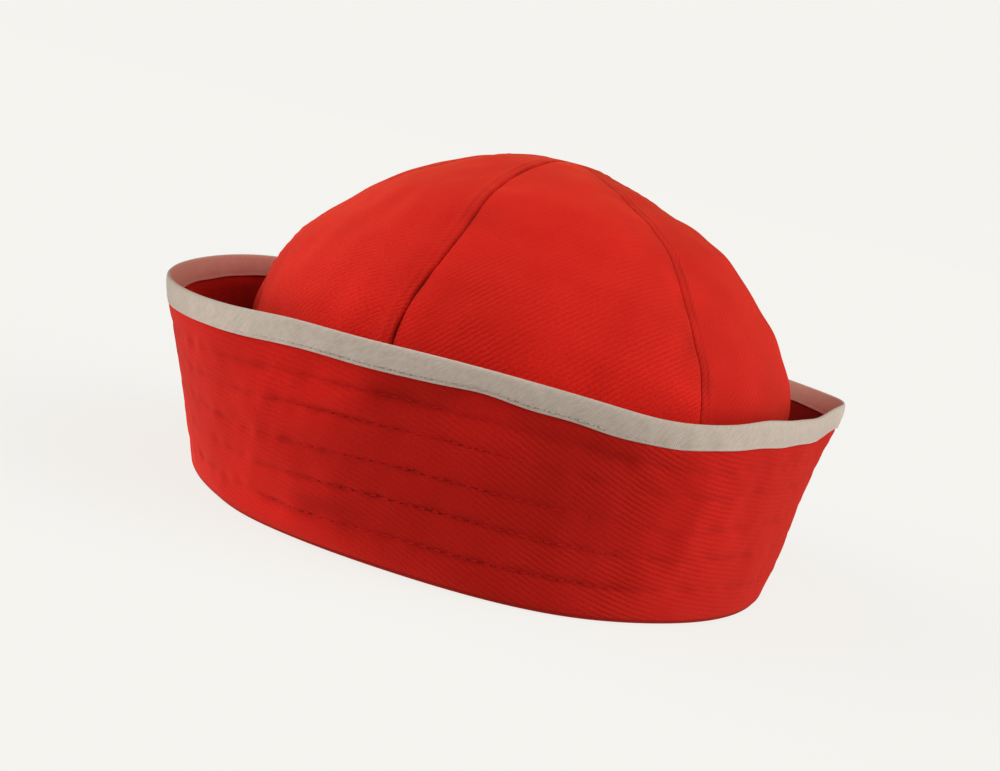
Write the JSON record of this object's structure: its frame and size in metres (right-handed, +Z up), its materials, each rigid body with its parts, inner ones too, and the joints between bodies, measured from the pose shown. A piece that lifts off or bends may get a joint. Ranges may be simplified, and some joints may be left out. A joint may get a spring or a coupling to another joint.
{
  "type": "sailor hat",
  "caption": "Child's sailor hat of red cotton twill: a soft gored crown, a turned-up brim stitched in rows, and an off-white binding folded over the brim's edge.",
  "frame": {"origin": "centre of the base on the surface that the hat rests on", "axes": "+Z up towards the top of the crown, -Y towards the front of the hat, Y along the longer axis of the brim's edge"},
  "size_m": [0.1746, 0.2048, 0.1039],
  "materials": {
    "red_twill": "matte cotton twill",
    "white_binding": "matte plain-woven cotton bias binding"
  },
  "bodies": {
    "root": {"brim": "red_twill", "brim_binding": "white_binding", "crown_gore_1": "red_twill", "crown_gore_2": "red_twill", "crown_gore_3": "red_twill", "crown_gore_4": "red_twill", "crown_gore_5": "red_twill", "crown_gore_6": "red_twill"}
  },
  "joints": []
}
